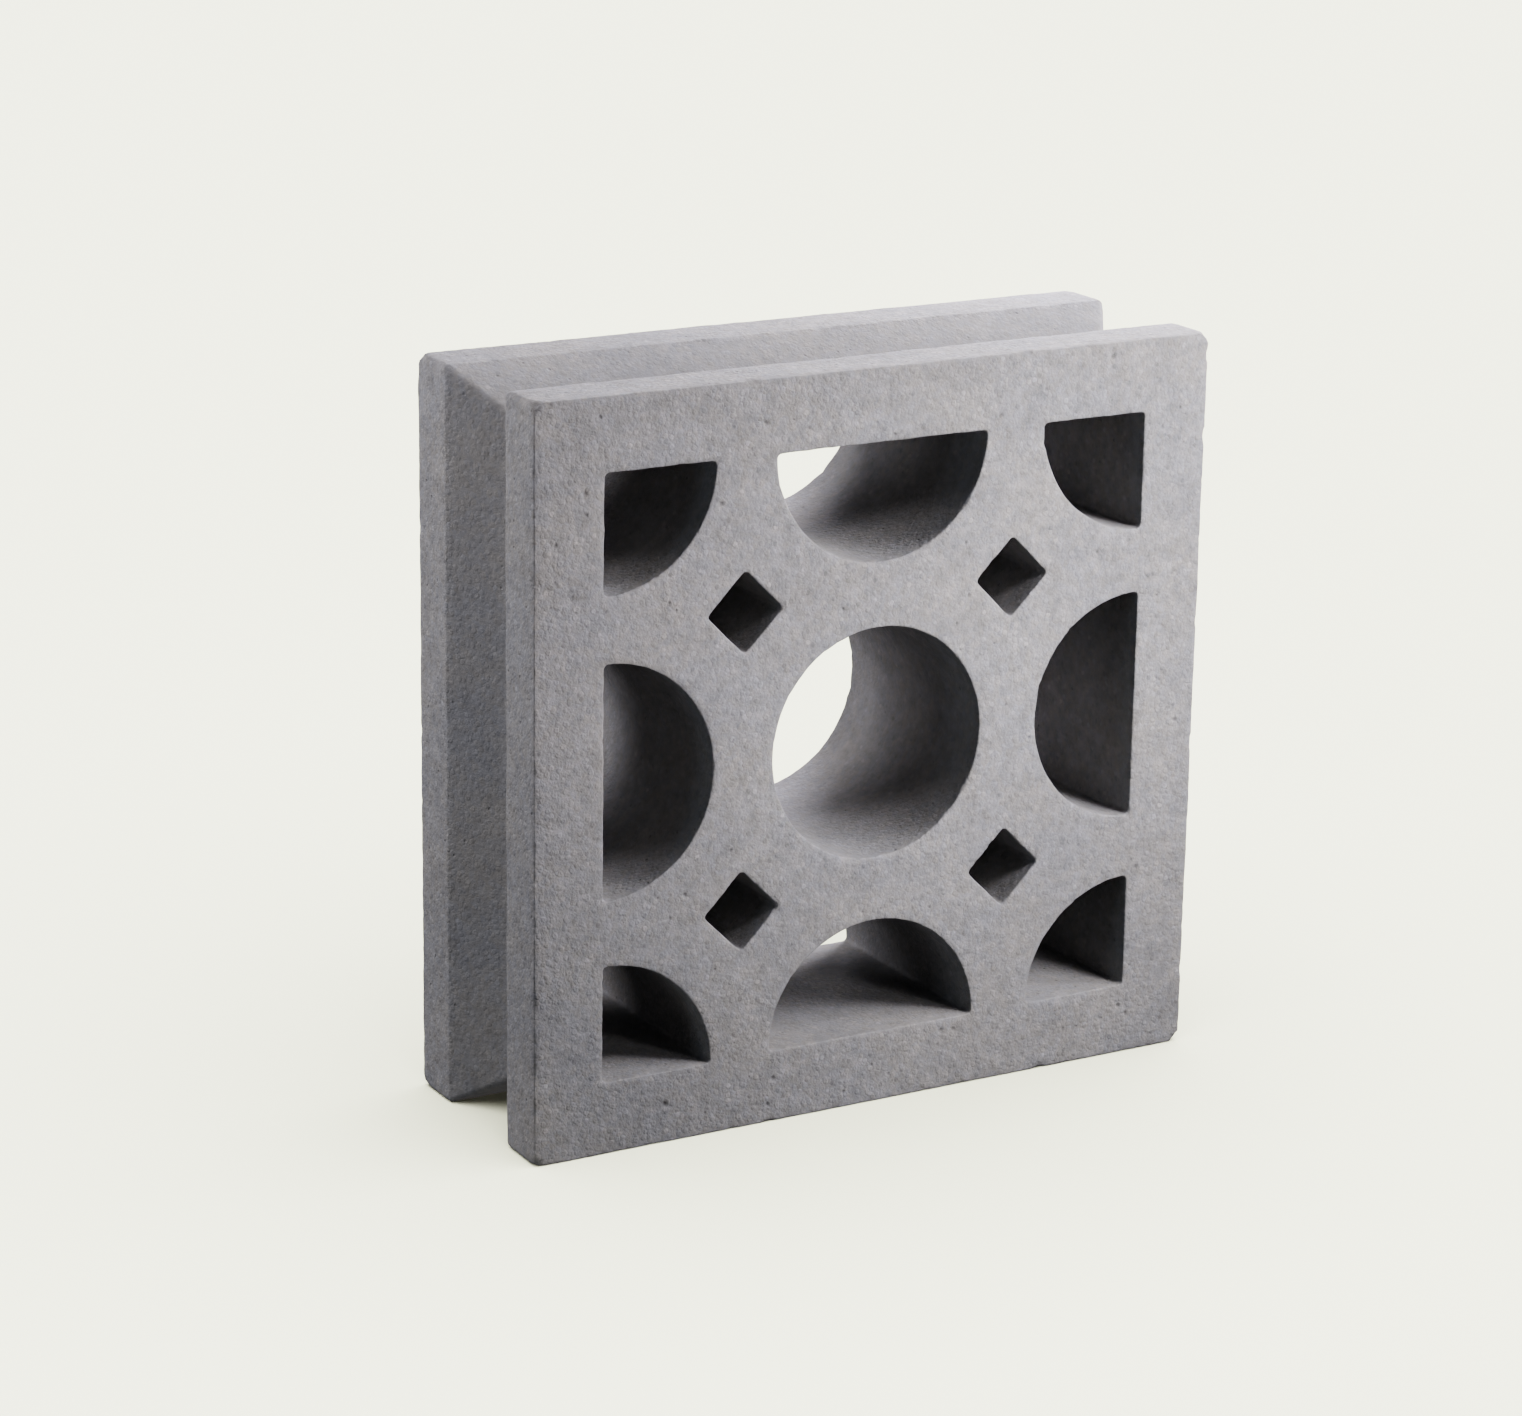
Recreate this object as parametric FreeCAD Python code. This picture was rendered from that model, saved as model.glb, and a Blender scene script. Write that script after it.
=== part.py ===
"""Decorative concrete screen block, cast in one piece.

A square openwork block that stands on edge.  A mortar groove of V section
runs round all four edges between a front and a back lip, and a pattern of
round, half-round, quarter-round and diamond openings goes right through.

Frame: millimetres, +Z up, X across the width, Y through the thickness.
The front face looks along -Y.  Origin: middle of the base (Z = 0 is the
surface that the block stands on).
"""

import FreeCAD
import Part

import math
import os

V = FreeCAD.Vector

# ---- driving dimensions (mm) ----------------------------------------------
BLOCK_W = 300.0      # width and height of the square block
BLOCK_T = 100.0      # thickness, front face to back face
LIP_T = 24.0         # thickness of the front and the back lip at the edge
GROOVE_D = 16.0      # depth of the V groove, to the crossing of its flanks
GROOVE_R = 6.0       # rounding of the groove's bottom
LIP_R = 2.5          # arris between a lip and the groove
FACE_R = 1.2         # arris round the front and the back face
CORNER_R = 2.5       # rounding of the four corners, seen from the front
PITCH = 120.0        # centre of the block to the centres of the outer circles
HOLE_R = 46.5        # radius of every round opening, whole, half or quarter
DIAMOND = 16.0       # centre of a diamond opening to its points
RIM_R = 1.0          # arris round the openings on both faces

HALF_W = BLOCK_W / 2.0
HALF_T = BLOCK_T / 2.0
Z_MID = BLOCK_W / 2.0


def rounded_square(half, radius, y):
    """Wire of a square with rounded corners, in the plane Y = y, about the origin."""
    k = half - radius
    edges = []
    for i in range(4):
        a = math.radians(90.0 * i)
        c, s = math.cos(a), math.sin(a)

        def at(u, w, c=c, s=s):
            return V(u * c - w * s, y, u * s + w * c)

        edges.append(Part.LineSegment(at(half, -k), at(half, k)).toShape())
        d = radius * math.sqrt(0.5)
        edges.append(Part.Arc(at(half, k), at(k + d, k + d), at(k, half)).toShape())
    return Part.Wire(edges)


def prism(wire, depth):
    """Solid from a closed wire, swept along +Y."""
    return Part.Face(wire).extrude(V(0, depth, 0))


# ---- the block's outside: two lips and the waist between them ---------------
lip_wire = rounded_square(HALF_W, CORNER_R, -HALF_T)
front_lip = prism(lip_wire, LIP_T)
back_lip = prism(rounded_square(HALF_W, CORNER_R, HALF_T - LIP_T), LIP_T)

groove_edge = HALF_T - LIP_T
waist_half = HALF_W - GROOVE_D
front_waist = Part.makeLoft(
    [rounded_square(HALF_W, CORNER_R, -groove_edge), rounded_square(waist_half, CORNER_R, 0.0)],
    True, True)
back_waist = Part.makeLoft(
    [rounded_square(waist_half, CORNER_R, 0.0), rounded_square(HALF_W, CORNER_R, groove_edge)],
    True, True)

body = front_lip.fuse([front_waist, back_waist, back_lip]).removeSplitter()


def edges_at(shape, y, reach=None):
    """Edges that lie wholly in the plane Y = y, and inside |x|, |z| <= reach if given."""
    found = []
    for e in shape.Edges:
        b = e.BoundBox
        if abs(b.YMin - y) > 1e-4 or abs(b.YMax - y) > 1e-4:
            continue
        if reach is not None and max(abs(b.XMin), abs(b.XMax), abs(b.ZMin), abs(b.ZMax)) > reach:
            continue
        found.append(e)
    return found


body = body.makeFillet(GROOVE_R, edges_at(body, 0.0))
body = body.makeFillet(LIP_R, edges_at(body, -groove_edge) + edges_at(body, groove_edge))
body = body.makeFillet(FACE_R, edges_at(body, -HALF_T) + edges_at(body, HALF_T))

# ---- the openings, each swept right through the thickness --------------------
OVER = 5.0
Y0 = -HALF_T - OVER
LENGTH = BLOCK_T + 2.0 * OVER


def round_opening(cx, cz):
    return Part.makeCylinder(HOLE_R, LENGTH, V(cx, Y0, cz), V(0, 1, 0))


def window():
    """The square that the outer circles are cut off by."""
    return Part.makeBox(2 * PITCH, LENGTH, 2 * PITCH, V(-PITCH, Y0, -PITCH))


def diamond_opening(cx, cz):
    pts = [V(cx + DIAMOND, Y0, cz), V(cx, Y0, cz + DIAMOND), V(cx - DIAMOND, Y0, cz),
           V(cx, Y0, cz - DIAMOND), V(cx + DIAMOND, Y0, cz)]
    return prism(Part.makePolygon(pts), LENGTH)


openings = [round_opening(0.0, 0.0)]
for cx in (-PITCH, 0.0, PITCH):
    for cz in (-PITCH, 0.0, PITCH):
        if cx or cz:
            openings.append(round_opening(cx, cz).common(window()))
for cx in (-PITCH / 2, PITCH / 2):
    for cz in (-PITCH / 2, PITCH / 2):
        openings.append(diamond_opening(cx, cz))

body = body.cut(openings)
body = body.makeFillet(
    RIM_R,
    edges_at(body, -HALF_T, PITCH + 1.0) + edges_at(body, HALF_T, PITCH + 1.0))

body.translate(V(0, 0, Z_MID))

if body.ShapeType == "Compound":
    assert len(body.Solids) == 1, len(body.Solids)
    body = body.Solids[0]
assert body.isValid() and len(body.Solids) == 1

b = body.BoundBox
print("screen_block", "valid", body.isValid(), "volume_cm3", round(body.Volume / 1000.0, 2),
      "faces", len(body.Faces),
      "box", [round(v, 3) for v in (b.XMin, b.XMax, b.YMin, b.YMax, b.ZMin, b.ZMax)])

os.makedirs("parts", exist_ok=True)
body.exportStep("parts/screen_block.step")
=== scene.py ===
import math

import bpy
import numpy as np
from mathutils import Matrix, Vector
from mathutils.geometry import delaunay_2d_cdt


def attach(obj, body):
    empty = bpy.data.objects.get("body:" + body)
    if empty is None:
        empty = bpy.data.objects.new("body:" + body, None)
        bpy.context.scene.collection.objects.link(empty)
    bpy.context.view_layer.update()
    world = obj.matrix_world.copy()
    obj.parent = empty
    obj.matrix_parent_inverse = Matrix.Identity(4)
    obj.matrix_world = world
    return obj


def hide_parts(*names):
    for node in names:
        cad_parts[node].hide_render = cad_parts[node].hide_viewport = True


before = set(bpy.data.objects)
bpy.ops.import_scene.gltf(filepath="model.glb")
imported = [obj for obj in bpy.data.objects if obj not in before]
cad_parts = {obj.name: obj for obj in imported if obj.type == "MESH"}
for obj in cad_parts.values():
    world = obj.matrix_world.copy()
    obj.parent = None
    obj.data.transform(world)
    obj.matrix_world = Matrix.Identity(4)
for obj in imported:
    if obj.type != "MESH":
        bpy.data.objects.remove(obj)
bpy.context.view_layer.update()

# ---------------------------------------------------------------------------
# Sizes of the block in millimetres, about its middle: x across, y through the
# thickness (front face at y = -50), z up.
# ---------------------------------------------------------------------------
HALF, HALF_T = 150.0, 50.0
LIP_T, GROOVE_D, GROOVE_R = 24.0, 16.0, 6.0
LIP_R, FACE_R, CORNER_R = 2.5, 0.8, 2.5
PITCH, HOLE_R, DIAMOND = 120.0, 46.5, 16.0
RIM_R, TIP_R = 1.0, 1.4
RNG = np.random.RandomState(20)


# ---------------------------------------------------------------------------
# Seeded noise
# ---------------------------------------------------------------------------
def _hash(ix, iy, iz, seed):
    h = (ix.astype(np.int64) * 374761393 + iy.astype(np.int64) * 668265263
         + iz.astype(np.int64) * 2147483647 + seed * 1274126177) & 0xFFFFFFFF
    h = ((h ^ (h >> 13)) * 1274126177) & 0xFFFFFFFF
    h = ((h ^ (h >> 16)) * 2246822519) & 0xFFFFFFFF
    h = h ^ (h >> 15)
    return h.astype(np.float64) / 4294967295.0


def vnoise(p, size, seed):
    """Smooth value noise in -1..1 with cells of the given size."""
    q = p / size + 100.0
    i = np.floor(q)
    f = q - i
    f = f * f * (3.0 - 2.0 * f)
    i = i.astype(np.int64)
    out = np.zeros(len(p))
    for dx in (0, 1):
        wx = f[:, 0] if dx else 1.0 - f[:, 0]
        for dy in (0, 1):
            wy = f[:, 1] if dy else 1.0 - f[:, 1]
            for dz in (0, 1):
                wz = f[:, 2] if dz else 1.0 - f[:, 2]
                out += wx * wy * wz * _hash(i[:, 0] + dx, i[:, 1] + dy, i[:, 2] + dz, seed)
    return 2.0 * out - 1.0


def fbm(p, size, seed, octaves=3):
    total, amp, norm = np.zeros(len(p)), 1.0, 0.0
    for k in range(octaves):
        total += amp * vnoise(p, size / 2.0 ** k, seed + 17 * k)
        norm += amp
        amp *= 0.5
    return total / norm


# ---------------------------------------------------------------------------
# Outlines of the openings, as points with normals that point into the concrete
# ---------------------------------------------------------------------------
STEP = 2.15


def seg_line(p, q, n):
    return ("line", np.array(p, float), np.array(q, float), np.array(n, float))


def seg_arc(c, r, a0, a1):
    return ("arc", np.array(c, float), r, a0, a1)


def sample(segments, step=STEP):
    pts, nrm = [], []
    for s in segments:
        if s[0] == "line":
            _, p, q, n = s
            k = max(1, int(round(np.linalg.norm(q - p) / step)))
            for t in np.arange(k) / k:
                pts.append(p + (q - p) * t)
                nrm.append(n)
        else:
            _, c, r, a0, a1 = s
            k = max(3 if r < 3 else 1, int(round(abs(a1 - a0) * r / step)))
            for t in np.arange(k) / k:
                a = a0 + (a1 - a0) * t
                d = np.array([math.cos(a), math.sin(a)])
                pts.append(c + r * d)
                nrm.append(d)
    return np.array(pts), np.array(nrm)


def outline_round():
    return sample([seg_arc((0, 0), HOLE_R, 0.0, 2 * math.pi)])


def outline_half():
    """Half disc u >= 0 with rounded tips, anticlockwise."""
    R, r = HOLE_R, TIP_R
    cz = math.sqrt((R - r) ** 2 - r * r)
    a = math.atan2(cz, r)
    return sample([
        seg_arc((0, 0), R, -a, a),
        seg_arc((r, cz), r, a, math.pi),
        seg_line((0, cz), (0, -cz), (-1, 0)),
        seg_arc((r, -cz), r, -math.pi, -a),
    ])


def outline_quarter():
    R, r = HOLE_R, TIP_R
    c = math.sqrt((R - r) ** 2 - r * r)
    b = math.atan2(r, c)
    return sample([
        seg_arc((0, 0), R, b, math.pi / 2 - b),
        seg_arc((r, c), r, math.pi / 2 - b, math.pi),
        seg_line((0, c), (0, r), (-1, 0)),
        seg_arc((r, r), r, math.pi, 1.5 * math.pi),
        seg_line((r, 0), (c, 0), (0, -1)),
        seg_arc((c, r), r, -math.pi / 2, b),
    ])


def outline_diamond():
    r = TIP_R
    k = DIAMOND - r * math.sqrt(2.0)
    segs = []
    for i in range(4):
        a = i * math.pi / 2
        c = np.array([math.cos(a), math.sin(a)]) * k
        segs.append(seg_arc(c, r, a - math.pi / 4, a + math.pi / 4))
        a2 = a + math.pi / 2
        c2 = np.array([math.cos(a2), math.sin(a2)]) * k
        n = np.array([math.cos(a + math.pi / 4), math.sin(a + math.pi / 4)])
        segs.append(seg_line(c + n * r, c2 + n * r, n))
    return sample(segs)


def turned(outline, centre, degrees):
    a = math.radians(degrees)
    m = np.array([[math.cos(a), -math.sin(a)], [math.sin(a), math.cos(a)]])
    p, n = outline
    return p @ m.T + np.array(centre), n @ m.T


HOLES = [turned(outline_round(), (0, 0), 0)]
for c, a in (((-PITCH, 0), 0), ((0, -PITCH), 90), ((PITCH, 0), 180), ((0, PITCH), 270)):
    HOLES.append(turned(outline_half(), c, a))
for c, a in (((-PITCH, -PITCH), 0), ((PITCH, -PITCH), 90), ((PITCH, PITCH), 180), ((-PITCH, PITCH), 270)):
    HOLES.append(turned(outline_quarter(), c, a))
for sx in (-1, 1):
    for sz in (-1, 1):
        HOLES.append(turned(outline_diamond(), (sx * PITCH / 2, sz * PITCH / 2), 0))


def hole_distance(p):
    """Distance of points (x, z) outside the nearest opening; negative inside one."""
    x, z = p[:, 0], p[:, 1]
    d = np.hypot(x, z) - HOLE_R
    for cx in (-PITCH, 0.0, PITCH):
        for cz in (-PITCH, 0.0, PITCH):
            if cx == 0.0 and cz == 0.0:
                continue
            r = np.hypot(x - cx, z - cz) - HOLE_R
            box = np.maximum(np.abs(x), np.abs(z)) - PITCH
            d = np.minimum(d, np.maximum(r, box))
    for cx in (-PITCH / 2, PITCH / 2):
        for cz in (-PITCH / 2, PITCH / 2):
            d = np.minimum(d, (np.abs(x - cx) + np.abs(z - cz) - DIAMOND) * math.sqrt(0.5))
    return d


# ---------------------------------------------------------------------------
# Outer edge: rows of (half size, corner radius, y), and columns round the square
# ---------------------------------------------------------------------------
def fillet(p0, p1, p2, r, n):
    p0, p1, p2 = (np.array(v, float) for v in (p0, p1, p2))
    a, b = p0 - p1, p2 - p1
    a, b = a / np.linalg.norm(a), b / np.linalg.norm(b)
    half = math.acos(np.clip(a @ b, -1, 1)) / 2
    t = r / math.tan(half)
    m = (a + b) / np.linalg.norm(a + b)
    c = p1 + m * r / math.sin(half)
    s, e = p1 + a * t - c, p1 + b * t - c
    ang = math.acos(np.clip((s @ e) / r ** 2, -1, 1))
    return [c + (math.sin((1 - k / n) * ang) * s + math.sin(k / n * ang) * e) / math.sin(ang) for k in range(n + 1)]


def outer_rows():
    rows = [(HALF - FACE_R - 0.7, CORNER_R - FACE_R - 0.7, -HALF_T, 0)]
    for k in range(5):
        f = math.radians(22.5 * k)
        cut = FACE_R * (1 - math.sin(f))
        rows.append((HALF - cut, CORNER_R - cut, -HALF_T + FACE_R * (1 - math.cos(f)), 1))
    g = HALF_T - LIP_T
    a, b, c, d = (HALF, -HALF_T), (HALF, -g), (HALF - GROOVE_D, 0.0), (HALF, g)
    arc1 = fillet(a, b, c, LIP_R, 3)
    arc2 = fillet(b, c, d, GROOVE_R, 6)
    rows.append((HALF, CORNER_R, -HALF_T + FACE_R + 0.7, 2))
    for y in np.linspace(-HALF_T + FACE_R + 0.7, arc1[0][1], 8)[1:-1]:
        rows.append((HALF, CORNER_R, y, 2))
    for p in arc1:
        rows.append((p[0], CORNER_R, p[1], 1))
    for t in np.arange(1, 8) / 8.0:
        p = arc1[-1] * (1 - t) + arc2[0] * t
        rows.append((p[0], CORNER_R, p[1], 3))
    for p in arc2[:4]:
        rows.append((p[0], CORNER_R, p[1], 3))
    for h, rc, y, zone in rows[-2::-1]:
        rows.append((h, rc, -y, zone))
    return rows


SIDE_N, ARC_N = 148, 4


def square_ring(h, rc):
    out = []
    k = h - rc
    for i in range(4):
        a = math.radians(90.0 * i)
        c, s = round(math.cos(a)), round(math.sin(a))
        local = [(h, t * k) for t in np.linspace(-1, 1, SIDE_N + 1)]
        local += [(k + rc * math.cos(b), k + rc * math.sin(b))
                  for b in (np.arange(1, ARC_N) / ARC_N) * math.pi / 2]
        out += [(u * c - w * s, u * s + w * c) for u, w in local]
    return np.array(out)


def wall_rows():
    """(offset out of the opening, y, zone) from the front face to the back face."""
    rows = []
    for k in range(4):
        f = math.radians(30.0 * k)
        rows.append((RIM_R * (1 - math.sin(f)), -HALF_T + RIM_R * (1 - math.cos(f)), 1))
    y, step = -HALF_T + RIM_R, 1.5
    ys = []
    while y + step < 0:
        y += step
        ys.append(y)
        step = min(step * 1.4, 6.4)
    ys = np.array(ys) * (1.0 if abs(ys[-1]) > 1.2 else 1.0)
    ys = ys[ys < -1.5]
    rows += [(0.0, v, 4) for v in ys] + [(0.0, 0.0, 4)] + [(0.0, -v, 4) for v in ys[::-1]]
    for k in range(3, -1, -1):
        f = math.radians(30.0 * k)
        rows.append((RIM_R * (1 - math.sin(f)), HALF_T - RIM_R * (1 - math.cos(f)), 1))
    return rows


# ---------------------------------------------------------------------------
# Vertices and faces of the whole skin
# ---------------------------------------------------------------------------
verts, zones, faces = [], [], []


def add_ring(xz, y, zone):
    start = len(verts)
    verts.extend((p[0], y, p[1]) for p in xz)
    zones.extend([zone] * len(xz))
    return start


def add_strip(a, b, n, flip):
    for j in range(n):
        k = (j + 1) % n
        q = (a + j, a + k, b + k, b + j)
        faces.append(q[::-1] if flip else q)


loops_front, loops_back = [], []
OUTER_ROWS = outer_rows()
starts = []
for h, rc, y, zone in OUTER_ROWS:
    ring = square_ring(h, rc)
    starts.append(add_ring(ring, y, zone))
n_outer = len(ring)
for a, b in zip(starts, starts[1:]):
    add_strip(a, b, n_outer, True)
loops_front.append((starts[0], n_outer))
loops_back.append((starts[-1], n_outer))

WALL_ROWS = wall_rows()
rim_points = []
for pts, nrm in HOLES:
    starts = []
    for off, y, zone in WALL_ROWS:
        starts.append(add_ring(pts + nrm * off, y, zone))
    n = len(pts)
    for a, b in zip(starts, starts[1:]):
        add_strip(a, b, n, False)
    loops_front.append((starts[0], n))
    loops_back.append((starts[-1], n))
    rim_points.append((pts, nrm))

# small voids in the two faces: x, z, radius, depth
def face_voids(count):
    made = []
    while len(made) < count:
        p = RNG.uniform(-HALF + 5, HALF - 5, (1, 2))
        r = 0.55 + 0.9 * RNG.rand() ** 2.5
        if hole_distance(p)[0] < r + 2.2:
            continue
        if any((p[0, 0] - m[0]) ** 2 + (p[0, 1] - m[1]) ** 2 < (r + m[2] + 1.5) ** 2 for m in made):
            continue
        made.append((p[0, 0], p[0, 1], r, r * RNG.uniform(0.3, 0.6)))
    return made


def triangulate(loops, voids, seed):
    rng = np.random.RandomState(seed)
    coords, ids, edges = [], [], []
    for start, n in loops:
        base = len(coords)
        for j in range(n):
            v = verts[start + j]
            coords.append((v[0], v[2]))
            ids.append(start + j)
            edges.append((base + j, base + (j + 1) % n))
    s = 2.2
    grid = []
    for j in range(int(2 * HALF / (s * 0.866)) + 1):
        for i in range(int(2 * HALF / s) + 1):
            grid.append((-HALF + (i + 0.5 * (j % 2)) * s, -HALF + j * s * 0.866))
    grid = np.array(grid) + rng.uniform(-0.38, 0.38, (len(grid), 2))
    keep = (hole_distance(grid) > RIM_R + 1.25) & (np.abs(grid).max(1) < HALF - FACE_R - 2.0)
    grid = grid[keep]
    extra = []
    for x, z, r, _ in voids:
        grid = grid[np.hypot(grid[:, 0] - x, grid[:, 1] - z) > r + 0.75]
        extra.append((x, z))
        for rad, n in ((0.55 * r, 5), (1.0 * r, 7), (1.35 * r, 7)):
            a0 = rng.rand() * 6.28
            for k in range(n):
                a = a0 + 2 * math.pi * k / n
                q = rad * rng.uniform(0.85, 1.15)
                extra.append((x + q * math.cos(a), z + q * math.sin(a)))
    inner = np.vstack([grid, np.array(extra)]) if extra else grid
    n_loop = len(coords)
    coords += [tuple(p) for p in inner]
    got = delaunay_2d_cdt([Vector(c) for c in coords], edges, [], 0, 1e-6)
    out_co, out_faces, orig = got[0], got[2], got[3]
    y = verts[loops[0][0]][1]
    index = []
    for k, src in enumerate(orig):
        first = min(src) if src else -1
        if 0 <= first < n_loop:
            index.append(ids[first])
        else:
            index.append(len(verts))
            verts.append((out_co[k][0], y, out_co[k][1]))
            zones.append(0)
    xy = np.array([tuple(c) for c in out_co])
    tri = np.array([f for f in out_faces])
    mid = xy[tri].mean(1)
    outline = np.array(coords[:n_loop])
    crossings = np.zeros(len(mid), int)          # odd between the outer loop and the openings
    for a, b in edges:
        (x0, z0), (x1, z1) = outline[a], outline[b]
        if z0 != z1:
            spans = (z0 > mid[:, 1]) != (z1 > mid[:, 1])
            crossings += spans & (mid[:, 0] < x0 + (x1 - x0) * (mid[:, 1] - z0) / (z1 - z0))
    tri = tri[crossings % 2 == 1]
    p, q, r = xy[tri[:, 0]], xy[tri[:, 1]], xy[tri[:, 2]]
    area = (q[:, 0] - p[:, 0]) * (r[:, 1] - p[:, 1]) - (q[:, 1] - p[:, 1]) * (r[:, 0] - p[:, 0])
    for t, s2 in zip(tri, area):
        if abs(s2) < 1e-9:
            continue
        a, b, c = (index[int(v)] for v in t)
        front_up = s2 > 0
        if (y < 0) == front_up:
            faces.append((a, b, c))
        else:
            faces.append((a, c, b))


VOIDS_FRONT, VOIDS_BACK = face_voids(85), face_voids(85)
triangulate(loops_front, VOIDS_FRONT, 3)
triangulate(loops_back, VOIDS_BACK, 4)

P = np.array(verts, float)
ZONE = np.array(zones)
tris = []
for f in faces:
    tris.append((f[0], f[1], f[2]))
    if len(f) == 4:
        tris.append((f[0], f[2], f[3]))
TRI = np.array(tris)


def normals(p):
    n = np.cross(p[TRI[:, 1]] - p[TRI[:, 0]], p[TRI[:, 2]] - p[TRI[:, 0]])
    out = np.zeros_like(p)
    for k in range(3):
        np.add.at(out, TRI[:, k], n)
    return out / np.maximum(np.linalg.norm(out, axis=1, keepdims=True), 1e-12)


N = normals(P)
volume = np.einsum("ij,ij->i", P[TRI[:, 0]], np.cross(P[TRI[:, 1]], P[TRI[:, 2]])).sum() / 6.0
print("skin: verts", len(P), "tris", len(TRI), "volume_cm3", round(volume / 1000.0, 1))

# ---------------------------------------------------------------------------
# Relief: everything is taken away from the surface, so the block keeps its size
# ---------------------------------------------------------------------------
ROUGH = np.array([1.0, 1.0, 0.8, 0.35, 0.35])[ZONE]
relief = 0.10 * (1 + fbm(P, 48.0, 1)) + 0.07 * (1 + fbm(P, 11.0, 5))
grain = 0.075 * (1 + vnoise(P, 3.1, 9)) + 0.05 * (1 + vnoise(P, 1.7, 12))
depth = relief + grain * ROUGH
worn = (ZONE == 1) * np.clip(0.25 + 0.75 * fbm(P, 9.0, 21), 0, None) * 0.42
depth = depth + worn

# painted shade: how far each point lies inside a void or a chip's hollow; the material darkens the colour there by this
# much
hollow_shade = np.zeros(len(P))
for voids, y in ((VOIDS_FRONT, -HALF_T), (VOIDS_BACK, HALF_T)):
    on_face = np.nonzero((ZONE == 0) & (np.abs(P[:, 1] - y) < 1e-6))[0]
    for x, z, r, dep in voids:
        d = np.hypot(P[on_face, 0] - x, P[on_face, 2] - z) / r
        hit = d < 1.1
        w = np.clip(1.0 - d[hit] ** 2, 0, 1) ** 0.7
        depth[on_face[hit]] += dep * w
        # painted shade: the void is marked to be darkened in colour
        hollow_shade[on_face[hit]] = np.maximum(hollow_shade[on_face[hit]], w)

Q = P - N * depth[:, None]


def chip(centre, outward, radius, bite):
    """Breaks a flake off an arris or a corner, down to a rough hollow plane."""
    centre, b = np.array(centre, float), np.array(outward, float)
    b /= np.linalg.norm(b)
    near = np.nonzero(np.abs(P - centre).max(1) < radius * 1.2 + 3)[0]
    rel = P[near] - centre
    up = (Q[near] - centre) @ b
    flat = rel - np.outer(rel @ b, b)
    d = np.linalg.norm(flat, axis=1) / radius
    d = d * (1 + 0.22 * vnoise(P[near], radius * 0.7, 77))
    floor = -bite * np.clip(1 - d ** 2, -1e9, 1) + 0.16 * bite * vnoise(P[near], max(1.2, radius * 0.4), 33)
    over = np.where(d < 1.0, np.clip(up - floor, 0, None), 0.0)
    Q[near] -= b * over[:, None]
    # painted shade: the chip's hollow is marked to be darkened in colour
    hollow_shade[near] = np.maximum(hollow_shade[near], np.clip(over / max(bite, 0.1), 0, 1) * 0.55)


def arris_chips():
    s = math.sqrt(0.5)
    g = HALF_T - LIP_T
    for side in range(4):
        a = math.radians(90.0 * side)
        c, sn = round(math.cos(a)), round(math.sin(a))

        def put(h, w, y):
            return (h * c - w * sn, y, h * sn + w * c)

        for ysign in (-1, 1):
            left_front = side == 2 and ysign == -1
            count = 46 if left_front else 24
            for _ in range(count):
                w = RNG.uniform(-HALF + 6, HALF - 6)
                if left_front and RNG.rand() < 0.6:
                    w = RNG.uniform(-10, HALF - 6)
                r = 1.7 + 2.6 * RNG.rand() ** 2.2
                inset = FACE_R * (1 - s)
                chip(put(HALF - inset, w, ysign * (HALF_T - inset)), put(s, 0, ysign * s), r, 0.30 * r * RNG.uniform(0.35, 1.0))
            for _ in range(8):
                w = RNG.uniform(-HALF + 6, HALF - 6)
                r = 1.6 + 2.6 * RNG.rand() ** 2
                chip(put(HALF - 0.1, w, ysign * g), put(0.963, 0, -ysign * 0.27), r, 0.2 * r)
    for sx in (-1, 1):
        for sz in (-1, 1):
            for ysign in (-1, 1):
                r = RNG.uniform(2.5, 4.5)
                bite = RNG.uniform(0.2, 0.6)
                if sx == 1 and sz == -1 and ysign == -1:
                    r, bite = 6.5, 1.0
                elif sz == -1:
                    r, bite = 2.5, 0.15
                k = HALF - 1.6
                chip((sx * k, ysign * (HALF_T - 1.3), sz * k), (sx, ysign * 0.7, sz), r, bite)
    for pts, nrm in rim_points:
        for ysign in (-1, 1):
            count = max(2, int(round(len(pts) / 17.0)))
            for k in RNG.choice(len(pts), count, replace=False):
                r = 1.3 + 2.0 * RNG.rand() ** 2
                n3 = np.array([-nrm[k][0], ysign, -nrm[k][1]])
                chip((pts[k][0] + nrm[k][0] * 0.3, ysign * (HALF_T - 0.3), pts[k][1] + nrm[k][1] * 0.3), n3, r, 0.3 * r)


arris_chips()


# where a flake folds the skin over itself, the fold is smoothed out
side = np.sort(TRI[:, [0, 1, 1, 2, 2, 0]].reshape(-1, 2), axis=1)
which = np.unique(side, axis=0, return_inverse=True)[1].ravel()
PAIR = (np.argsort(which, kind="stable") // 3).reshape(-1, 2)      # the two triangles at each edge
for _ in range(8):
    n = np.cross(Q[TRI[:, 1]] - Q[TRI[:, 0]], Q[TRI[:, 2]] - Q[TRI[:, 0]])
    n /= np.maximum(np.linalg.norm(n, axis=1, keepdims=True), 1e-12)
    folded = (n[PAIR[:, 0]] * n[PAIR[:, 1]]).sum(1) < 0.0
    if not folded.any():
        break
    bad = np.unique(TRI[PAIR[folded]])
    total, count = np.zeros_like(Q), np.zeros(len(Q))
    for a, b in side[np.isin(side, bad).any(1)]:
        total[a] += Q[b]
        total[b] += Q[a]
        count[[a, b]] += 1
    Q[bad] = 0.4 * Q[bad] + 0.6 * total[bad] / count[bad][:, None]

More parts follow.
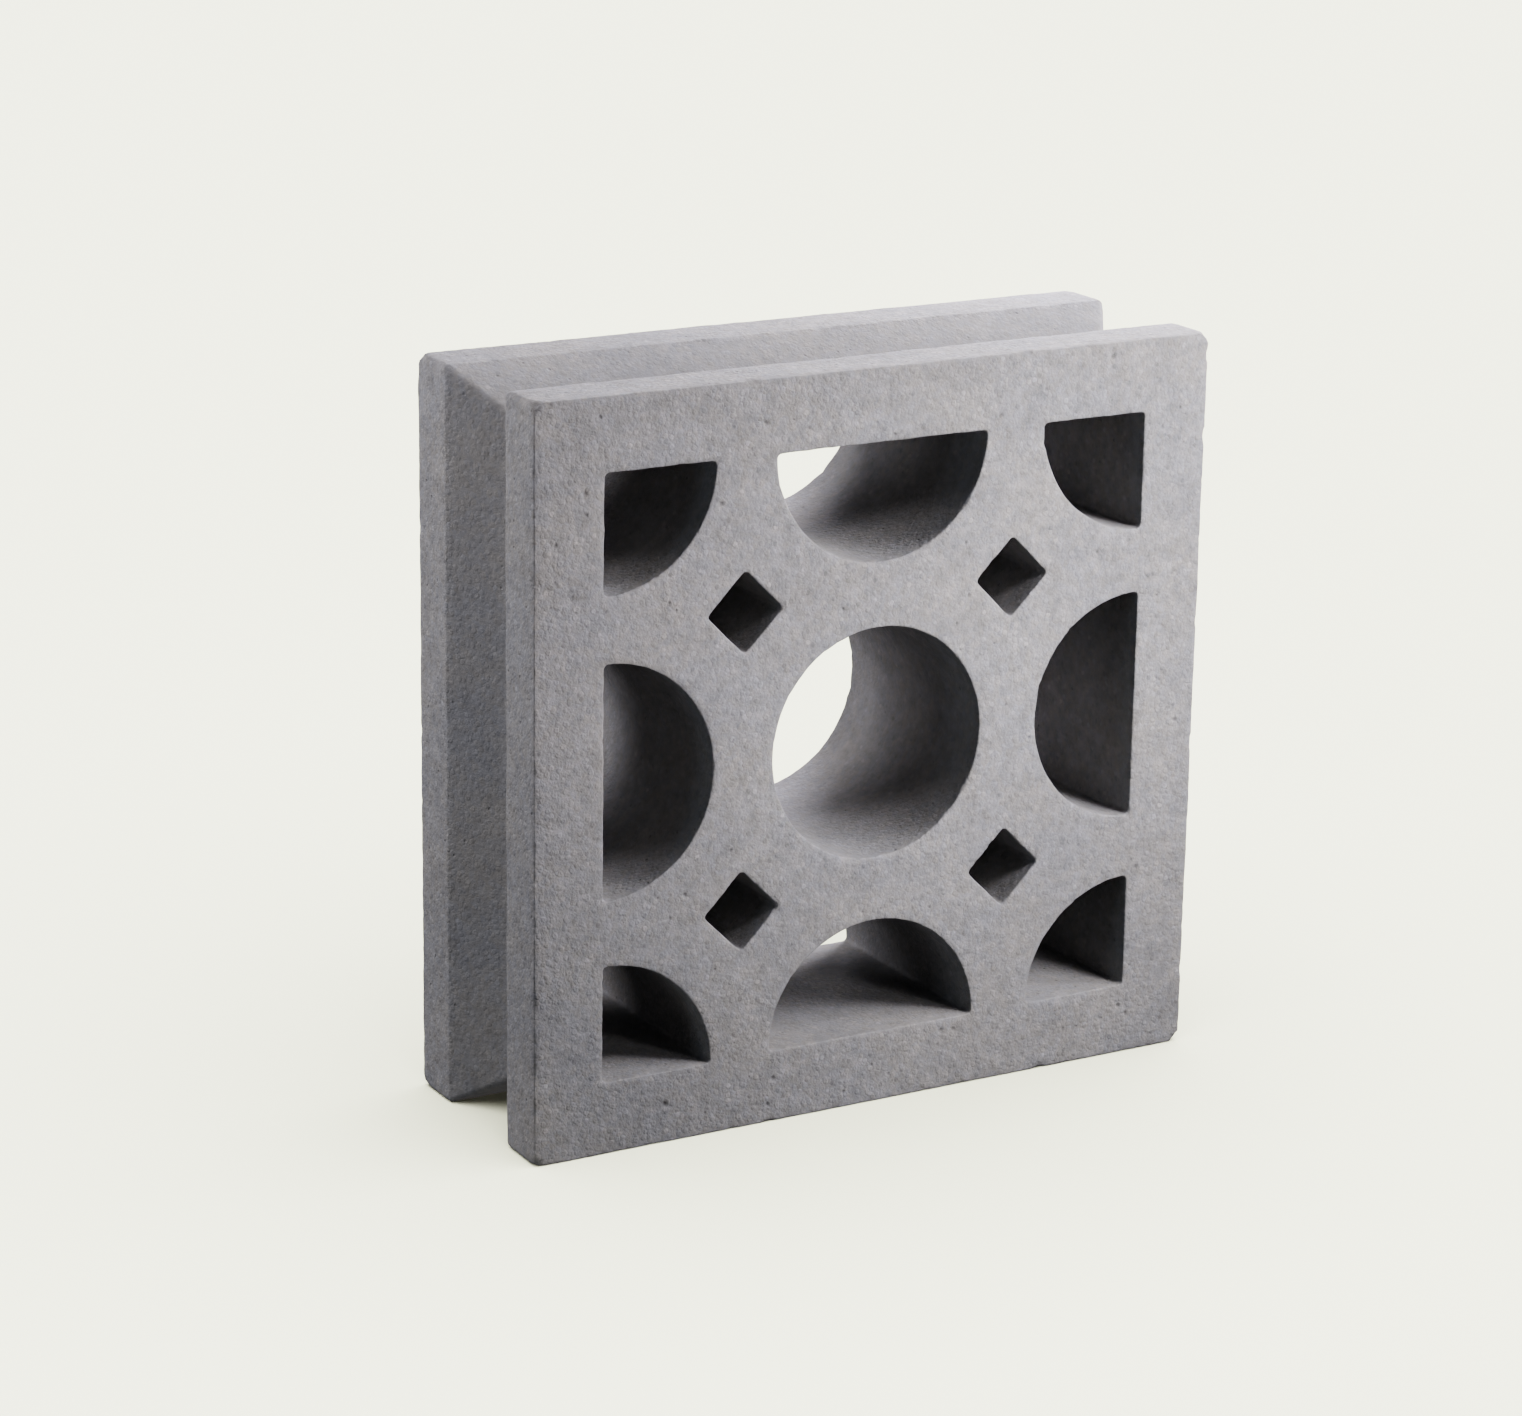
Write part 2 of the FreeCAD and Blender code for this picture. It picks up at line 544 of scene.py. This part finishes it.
# ---------------------------------------------------------------------------
# The block as a mesh
# ---------------------------------------------------------------------------
mesh = bpy.data.meshes.new("screen_block_cast")
co = np.column_stack([Q[:, 0], Q[:, 1], Q[:, 2] + HALF]) / 1000.0
co[:, 2] -= co[:, 2].min()
mesh.from_pydata([tuple(v) for v in co], [], faces)
mesh.validate()
mesh.polygons.foreach_set("use_smooth", [True] * len(mesh.polygons))
# the first attribute carries painted shade for the voids and chip hollows into the material
for name, values in (("hollow_shade", hollow_shade), ("arris", (ZONE == 1).astype(float)), ("cast", (ZONE >= 3).astype(float))):
    attr = mesh.attributes.new(name, "FLOAT", "POINT")
    attr.data.foreach_set("value", values.astype(np.float32))
mesh.update()
block = bpy.data.objects.new("screen_block_cast", mesh)
bpy.context.scene.collection.objects.link(block)
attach(block, "root")
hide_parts("screen_block")


# ---------------------------------------------------------------------------
# Material
# ---------------------------------------------------------------------------
class Nodes:
    """Short way to write a node tree."""

    def __init__(self, tree):
        self.tree = tree
        tree.nodes.clear()

    def add(self, kind, inputs=None, **props):
        n = self.tree.nodes.new(kind)
        for k, v in props.items():
            setattr(n, k, v)
        for k, v in (inputs or {}).items():
            sock = n.inputs[k]
            if isinstance(v, bpy.types.NodeSocket):
                self.tree.links.new(v, sock)
            else:
                sock.default_value = v
        return n

    def math(self, op, a, b=None, clamp=False):
        n = self.add("ShaderNodeMath", operation=op, use_clamp=clamp)
        for k, v in enumerate((a, b)):
            if v is None:
                continue
            if isinstance(v, bpy.types.NodeSocket):
                self.tree.links.new(v, n.inputs[k])
            else:
                n.inputs[k].default_value = v
        return n.outputs[0]

    def noise(self, vec, scale, detail=2.0, rough=0.5):
        return self.add("ShaderNodeTexNoise", {"Vector": vec, "Scale": scale, "Detail": detail, "Roughness": rough}).outputs["Fac"]

    def remap(self, v, a, b, c, d):
        return self.add("ShaderNodeMapRange", {"Value": v, "From Min": a, "From Max": b, "To Min": c, "To Max": d}).outputs[0]


def concrete_material():
    """Sand and fine stone in grey cement paste, matt, in the block's own coordinates."""
    mat = bpy.data.materials.new("concrete")
    mat.use_nodes = True
    t = Nodes(mat.node_tree)
    vec = t.add("ShaderNodeTexCoord").outputs["Object"]
    big = t.noise(vec, 13.0, 2.0, 0.55)
    mid = t.noise(vec, 80.0, 2.0, 0.6)
    fine = t.noise(vec, 205.0, 2.0, 0.62)
    sand = t.noise(vec, 950.0, 1.0, 0.6)
    # grains of 2 to 3 mm, each of its own grey, set in the paste
    stone = t.add("ShaderNodeTexVoronoi", {"Vector": vec, "Scale": 400.0, "Randomness": 1.0})
    stone_id = t.add("ShaderNodeSeparateColor", {"Color": stone.outputs["Color"]})
    body = t.remap(stone.outputs["Distance"], 0.30, 0.52, 1.0, 0.0)
    ramp = t.add("ShaderNodeValToRGB", {"Fac": stone_id.outputs[0]})
    ramp.color_ramp.interpolation = "LINEAR"
    stops = ((0.0, 0.18), (0.16, 0.40), (0.30, 0.5), (0.66, 0.5), (0.84, 0.62), (0.95, 0.74), (1.0, 1.0))
    while len(ramp.color_ramp.elements) < len(stops):
        ramp.color_ramp.elements.new(0.5)
    for e, (at, g) in zip(ramp.color_ramp.elements, stops):
        e.position, e.color = at, (g, g, g, 1.0)
    grey = t.math("MULTIPLY", t.math("SUBTRACT", ramp.outputs["Color"], 0.5), body)
    # pin-holes, sunk in the bump and darkened in colour: the dark tone is painted shade inside them
    pores = t.add("ShaderNodeTexVoronoi", {"Vector": vec, "Scale": 210.0, "Randomness": 1.0})
    pore_id = t.add("ShaderNodeSeparateColor", {"Color": pores.outputs["Color"]}).outputs[1]
    pore_dent_and_shade = t.math("MULTIPLY", t.remap(pore_id, 0.80, 0.86, 0.0, 1.0), t.remap(pores.outputs["Distance"], 0.07, 0.17, 1.0, 0.0))
    # brightness of the surface: one number round 1.0
    cast = t.add("ShaderNodeAttribute", attribute_name="cast").outputs["Fac"]
    calm = t.remap(cast, 0.0, 1.0, 1.0, 0.68)
    v = t.math("ADD", t.remap(mid, 0.25, 0.75, -0.085, 0.085), t.remap(fine, 0.25, 0.75, -0.19, 0.19))
    v = t.math("ADD", v, t.remap(sand, 0.2, 0.8, -0.10, 0.10))
    v = t.math("ADD", v, t.math("MULTIPLY", grey, 0.56))
    # painted shade: the pin-holes are darkened
    v = t.math("SUBTRACT", v, t.math("MULTIPLY", pore_dent_and_shade, 0.34))
    v = t.math("ADD", t.math("MULTIPLY", v, calm), t.remap(big, 0.3, 0.7, 0.945, 1.055))
    # painted shade: voids and chip hollows are darkened in colour
    hollow_shade_fac = t.add("ShaderNodeAttribute", attribute_name="hollow_shade").outputs["Fac"]
    v = t.math("SUBTRACT", v, t.math("MULTIPLY", hollow_shade_fac, 0.24))
    warm = t.math("ADD", t.remap(t.noise(vec, 26.0, 1.0, 0.5), 0.3, 0.7, 0.2, 0.8), t.remap(stone_id.outputs[2], 0.0, 1.0, -0.38, 0.38))
    tint = t.add("ShaderNodeMix", {"Factor": warm}, data_type="RGBA")
    for k, c in (("A", (0.1972, 0.1980, 0.2044, 1)), ("B", (0.2096, 0.2000, 0.1896, 1))):
        [q for q in tint.inputs if q.type == "RGBA" and q.name == k][0].default_value = c
    col = t.add("ShaderNodeVectorMath", operation="SCALE")
    t.tree.links.new([q for q in tint.outputs if q.type == "RGBA"][0], col.inputs[0])
    t.tree.links.new(v, col.inputs["Scale"])
    # relief finer than the mesh
    h = t.math("ADD", t.math("MULTIPLY", body, 0.30), t.math("MULTIPLY", sand, 0.55))
    h = t.math("ADD", h, t.math("MULTIPLY", fine, 0.55))
    h = t.math("SUBTRACT", h, t.math("MULTIPLY", pore_dent_and_shade, 0.9))
    h = t.math("MULTIPLY", h, calm)
    bump = t.add("ShaderNodeBump", {"Height": h, "Strength": 0.6, "Distance": 0.0007})
    rough = t.remap(fine, 0.2, 0.8, 0.84, 0.98)
    bsdf = t.add("ShaderNodeBsdfPrincipled", {"Base Color": col.outputs[0], "Roughness": rough,
                                              "Specular IOR Level": 0.2, "Normal": bump.outputs[0]})
    out = t.add("ShaderNodeOutputMaterial")
    t.tree.links.new(bsdf.outputs[0], out.inputs["Surface"])
    return mat


mesh.materials.append(concrete_material())

# ---------------------------------------------------------------------------
# Stage: floor, light and camera
# ---------------------------------------------------------------------------
scene = bpy.context.scene
scene.view_settings.view_transform = "Filmic"
scene.view_settings.look = "Medium High Contrast"

floor_mesh = bpy.data.meshes.new("floor")
S = 40.0
floor_mesh.from_pydata([(-S, -S, 0), (S, -S, 0), (S, S, 0), (-S, S, 0)], [], [(0, 1, 2, 3)])
floor = bpy.data.objects.new("floor", floor_mesh)
scene.collection.objects.link(floor)
fm = bpy.data.materials.new("pale_floor")
fm.use_nodes = True
ft = Nodes(fm.node_tree)
fb = ft.add("ShaderNodeBsdfDiffuse", {"Color": (0.85, 0.84, 0.66, 1)})
fo = ft.add("ShaderNodeOutputMaterial")
ft.tree.links.new(fb.outputs[0], fo.inputs["Surface"])
floor_mesh.materials.append(fm)
floor.visible_diffuse = False
floor.visible_glossy = False

world = bpy.data.worlds.new("studio")
scene.world = world
world.use_nodes = True
wt = Nodes(world.node_tree)
dim = wt.add("ShaderNodeBackground", {"Color": (0.45, 0.70, 1.0, 1), "Strength": 0.007})
pale = wt.add("ShaderNodeBackground", {"Color": (0.85, 0.84, 0.66, 1), "Strength": 3.0})
lp = wt.add("ShaderNodeLightPath")
mix = wt.add("ShaderNodeMixShader", {0: lp.outputs["Is Camera Ray"], 1: dim.outputs[0], 2: pale.outputs[0]})
wo = wt.add("ShaderNodeOutputWorld")
wt.tree.links.new(mix.outputs[0], wo.inputs["Surface"])

# the object and the floor are lit apart, as on a product table with a lit sweep
lit_block = bpy.data.collections.new("lit_block")
lit_floor = bpy.data.collections.new("lit_floor")
lit_block.objects.link(block)
lit_floor.objects.link(floor)


def area(name, pos, target, size, power, color, receivers):
    data = bpy.data.lights.new(name, "AREA")
    data.shape = "RECTANGLE"
    data.size, data.size_y = size
    data.energy = power
    data.color = color
    ob = bpy.data.objects.new(name, data)
    ob.location = pos
    ob.rotation_mode = "QUATERNION"
    ob.rotation_quaternion = (Vector(target) - Vector(pos)).to_track_quat("-Z", "Y")
    scene.collection.objects.link(ob)
    ob.visible_camera = False
    ob.light_linking.receiver_collection = receivers
    return ob


MID = (0.0, 0.0, 0.15)


def soft(name, pos, size, strength, color):
    reach = sum((a - b) ** 2 for a, b in zip(pos, MID))
    return area(name, pos, MID, (size, size), 10.0 * reach * strength, color, lit_block)


def pool(name, pos, target, radius, strength, color):
    """A soft-edged spot that lights a disc of the given radius at its target."""
    way = Vector(target) - Vector(pos)
    data = bpy.data.lights.new(name, "SPOT")
    data.energy = 40.0 * way.length_squared * strength
    data.color = color
    data.spot_size = 2.0 * math.atan(radius / way.length)
    data.spot_blend = 1.0
    data.shadow_soft_size = 0.12
    ob = bpy.data.objects.new(name, data)
    ob.location = pos
    ob.rotation_mode = "QUATERNION"
    ob.rotation_quaternion = way.to_track_quat("-Z", "Y")
    scene.collection.objects.link(ob)
    ob.visible_camera = False
    ob.light_linking.receiver_collection = lit_block
    return ob


soft("key_low", (0.3, -0.8, 0.2), 0.28, 0.129, (0.975, 0.958, 1.000))
soft("top_mid", (0.35, 0.25, 0.5), 0.28, 2.585, (0.936, 0.915, 1.000))
soft("top_mid_2", (0.35, 0.9, 0.5), 0.28, 0.153, (0.936, 0.915, 1.000))
soft("rim_low", (-0.6, 0.3, 0.25), 0.28, 0.343, (0.971, 0.953, 1.000))
soft("rim_mid", (-0.4, 0.1, 0.5), 0.28, 0.205, (0.972, 0.953, 1.000))
soft("rim_high", (-0.4, 0.3, 0.75), 0.28, 0.457, (0.972, 0.953, 1.000))
soft("fill_low", (-1.2, -0.3, 0.2), 0.28, 0.063, (0.750, 0.870, 1.000))
pool("pool_mid", (0.3, -0.8, 0.35), (0.03, -0.05, 0.16), 0.12, 1.527, (0.975, 0.958, 1.000))
soft("key_high", (0.264, -0.426, 0.61), 0.16, 0.486, (0.975, 0.958, 1.000))
soft("key_low_2", (0.288, -0.338, 0.34), 0.16, 0.955, (0.975, 0.958, 1.000))
soft("key_high_2", (0.705, -0.379, 0.695), 0.16, 0.555, (0.975, 0.958, 1.000))
pool("pool_mid_2", (0.0, -0.9, 0.35), (-0.14, -0.05, 0.24), 0.09, 0.485, (1.000, 0.869, 0.869))

# light that the pale floor throws back up on to the underside and the near corner
for name, pos, target, size, power in (
        ("floor_bounce", (0.0, 0.0, -0.02), MID, (0.40, 0.20), 0.04),
        ("floor_bounce_2", (-0.19, -0.09, -0.015), (-0.15, -0.05, 0.0), (0.04, 0.04), 0.006)):
    bounce = area(name, pos, target, size, power, (1.0, 0.99, 0.96), lit_block)
    bounce.light_linking.blocker_collection = lit_block

sun = bpy.data.lights.new("floor_light", "SUN")
sun.energy = math.pi * 3.0
sun.angle = math.radians(100)
sun_ob = bpy.data.objects.new("floor_light", sun)
sun_ob.rotation_euler = (math.radians(8), math.radians(6), 0)
scene.collection.objects.link(sun_ob)
sun_ob.light_linking.receiver_collection = lit_floor

cam_data = bpy.data.cameras.new("camera")
cam = bpy.data.objects.new("camera", cam_data)
scene.collection.objects.link(cam)
cam_data.sensor_fit = "HORIZONTAL"
cam_data.sensor_width = 36.0
cam_data.lens = 101.663
cam_data.clip_start, cam_data.clip_end = 0.05, 200.0
right = Vector((0.8702871, -0.49233954, 0.01421775))
up = Vector((0.12755115, 0.25315994, 0.95897901))
fwd = Vector((0.47574265, 0.83277357, -0.2831203))
rot = Matrix((right, up, -fwd)).transposed()
cam.matrix_world = Matrix.Translation((-0.8356, -1.42025, 0.63715)) @ rot.to_4x4()
scene.camera = cam
